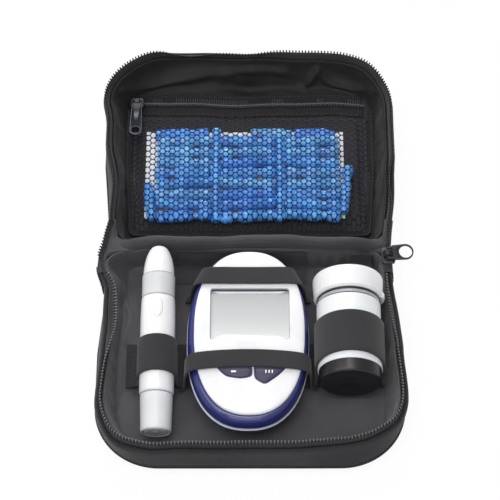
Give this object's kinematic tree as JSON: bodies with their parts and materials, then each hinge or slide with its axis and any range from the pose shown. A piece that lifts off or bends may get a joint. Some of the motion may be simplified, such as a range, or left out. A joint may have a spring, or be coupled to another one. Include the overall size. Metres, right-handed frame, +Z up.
{
  "type": "glucose meter case",
  "caption": "Soft zip case lying open flat, with a blood glucose meter, lancing pen and test strip vial under elastic bands in the tray and a mesh pocket of lancets in the lid.",
  "frame": {"origin": "centre of the tray's flat base, on the table", "axes": "+Y from the tray across the fold line to the lid, +X to the slider's side, +Z up out of the open halves"},
  "size_m": [0.1444, 0.2121, 0.0349],
  "materials": {
    "nylon": "woven nylon",
    "lining": "satin lining",
    "tape_cloth": "zipper tape",
    "tooth_plastic": "moulded",
    "elastic": "woven elastic",
    "panel_cloth": "matte cloth",
    "gunmetal": "dark plated",
    "net_cord": "knitted mesh",
    "card": "smooth card",
    "lancet_blue": "moulded",
    "meter_blue": "glossy",
    "trim_grey": "satin",
    "face_white": "satin",
    "screen_grey": "display",
    "lens_clear": "clear",
    "button_plum": "soft touch",
    "pen_white": "satin",
    "pen_grey": "satin",
    "vial_black": "moulded",
    "label_white": "paper label",
    "cap_white": "moulded",
    "strip_cream": "laminated"
  },
  "bodies": {
    "tray": {"tray_shell": "nylon", "tray_lining": "lining", "tray_zip_tape": "tape_cloth", "tray_zip_teeth": "tooth_plastic", "spine_fold": "nylon", "zip_end_tab_right": "tape_cloth", "zip_end_tab_left": "tape_cloth", "elastic_band_base": "elastic", "elastic_loop_pen": "elastic", "elastic_loop_vial": "elastic", "meter_strap_upper": "elastic", "meter_strap_lower": "elastic", "meter_back_panel": "panel_cloth"},
    "lid": {"lid_shell": "nylon", "lid_lining": "lining", "lid_zip_tape": "tape_cloth", "lid_zip_teeth": "tooth_plastic", "pocket_binding": "tape_cloth", "pocket_net": "net_cord", "pocket_zip_tape_lower": "tape_cloth", "pocket_zip_tape_upper": "tape_cloth", "pocket_zip_coil": "tooth_plastic", "pocket_card": "card", "lancet_1": "lancet_blue", "lancet_2": "lancet_blue", "lancet_3": "lancet_blue", "lancet_4": "lancet_blue", "lancet_5": "lancet_blue", "lancet_6": "lancet_blue", "lancet_7": "lancet_blue", "lancet_8": "lancet_blue", "lancet_9": "lancet_blue", "lancet_10": "lancet_blue", "lancet_11": "lancet_blue", "lancet_12": "lancet_blue"},
    "main_slider": {"main_slider": "gunmetal"},
    "main_pull": {"main_pull": "gunmetal"},
    "pocket_slider": {"pocket_slider": "gunmetal"},
    "pocket_pull": {"pocket_pull": "gunmetal"},
    "meter": {"meter_base": "meter_blue", "meter_trim": "trim_grey", "meter_frame": "meter_blue", "meter_face": "face_white", "meter_screen": "screen_grey", "meter_lens": "lens_clear"},
    "button_left": {"meter_button_left": "button_plum"},
    "button_right": {"meter_button_right": "button_plum"},
    "pen": {"pen_barrel": "pen_white", "pen_tip": "pen_white"},
    "pen_cocking": {"pen_sleeve": "pen_grey", "pen_end_plug": "trim_grey"},
    "pen_release": {"pen_release_button": "pen_grey"},
    "pen_ring": {"pen_depth_ring": "pen_grey"},
    "vial": {"vial_body": "vial_black", "vial_label": "label_white", "vial_strips": "strip_cream"},
    "cap": {"vial_cap": "cap_white"}
  },
  "joints": [
    {"name": "lid_fold", "type": "hinge", "parent": "tray", "child": "lid", "pos_m": [0, 0.05315, 0.02], "axis": [1, 0, 0], "range_deg": [0, 165]},
    {"name": "main_slider_slide", "type": "slide", "parent": "tray", "child": "main_slider", "axis": [0.0843, -0.9964, 0], "range_m": [0, 0.038]},
    {"name": "main_pull_swing", "type": "hinge", "parent": "main_slider", "child": "main_pull", "pos_m": [0.06275, 0.04515, 0.0223], "axis": [0.0843, -0.9964, 0], "range_deg": [-10, 45]},
    {"name": "pocket_slider_slide", "type": "slide", "parent": "lid", "child": "pocket_slider", "axis": [1, 0, 0], "range_m": [0, 0.1]},
    {"name": "pocket_pull_swing", "type": "hinge", "parent": "pocket_slider", "child": "pocket_pull", "pos_m": [-0.0536, 0.13915, 0.0075], "axis": [-1, 0, 0], "range_deg": [0, 90]},
    {"name": "meter_slide", "type": "slide", "parent": "tray", "child": "meter", "axis": [0, -1, 0], "range_m": [0, 0.006]},
    {"name": "button_left_press", "type": "slide", "parent": "meter", "child": "button_left", "axis": [0, 0, -1], "range_m": [0, 0.0006], "stiffness_N_per_m": 200},
    {"name": "button_right_press", "type": "slide", "parent": "meter", "child": "button_right", "axis": [0, 0, -1], "range_m": [0, 0.0006], "stiffness_N_per_m": 200},
    {"name": "pen_slide", "type": "slide", "parent": "tray", "child": "pen", "axis": [0, -0.9936, -0.1132], "range_m": [0, 0.0025]},
    {"name": "pen_cocking_pull", "type": "slide", "parent": "pen", "child": "pen_cocking", "axis": [0, -0.9936, -0.1132], "range_m": [0, 0.003], "stiffness_N_per_m": 200},
    {"name": "pen_release_press", "type": "slide", "parent": "pen", "child": "pen_release", "axis": [0, 0.1132, -0.9936], "range_m": [0, 0.0006], "stiffness_N_per_m": 200},
    {"name": "pen_ring_turn", "type": "hinge", "parent": "pen", "child": "pen_ring", "pos_m": [-0.0415, -0.03915, 0.0106], "axis": [0, 0.9936, 0.1132], "range_deg": [-150, 150]},
    {"name": "vial_slide", "type": "slide", "parent": "tray", "child": "vial", "axis": [0, -1, 0], "range_m": [0, 0.012]},
    {"name": "vial_cap_off", "type": "slide", "parent": "vial", "child": "cap", "axis": [0, 1, 0], "range_m": [0, 0.0064]}
  ]
}
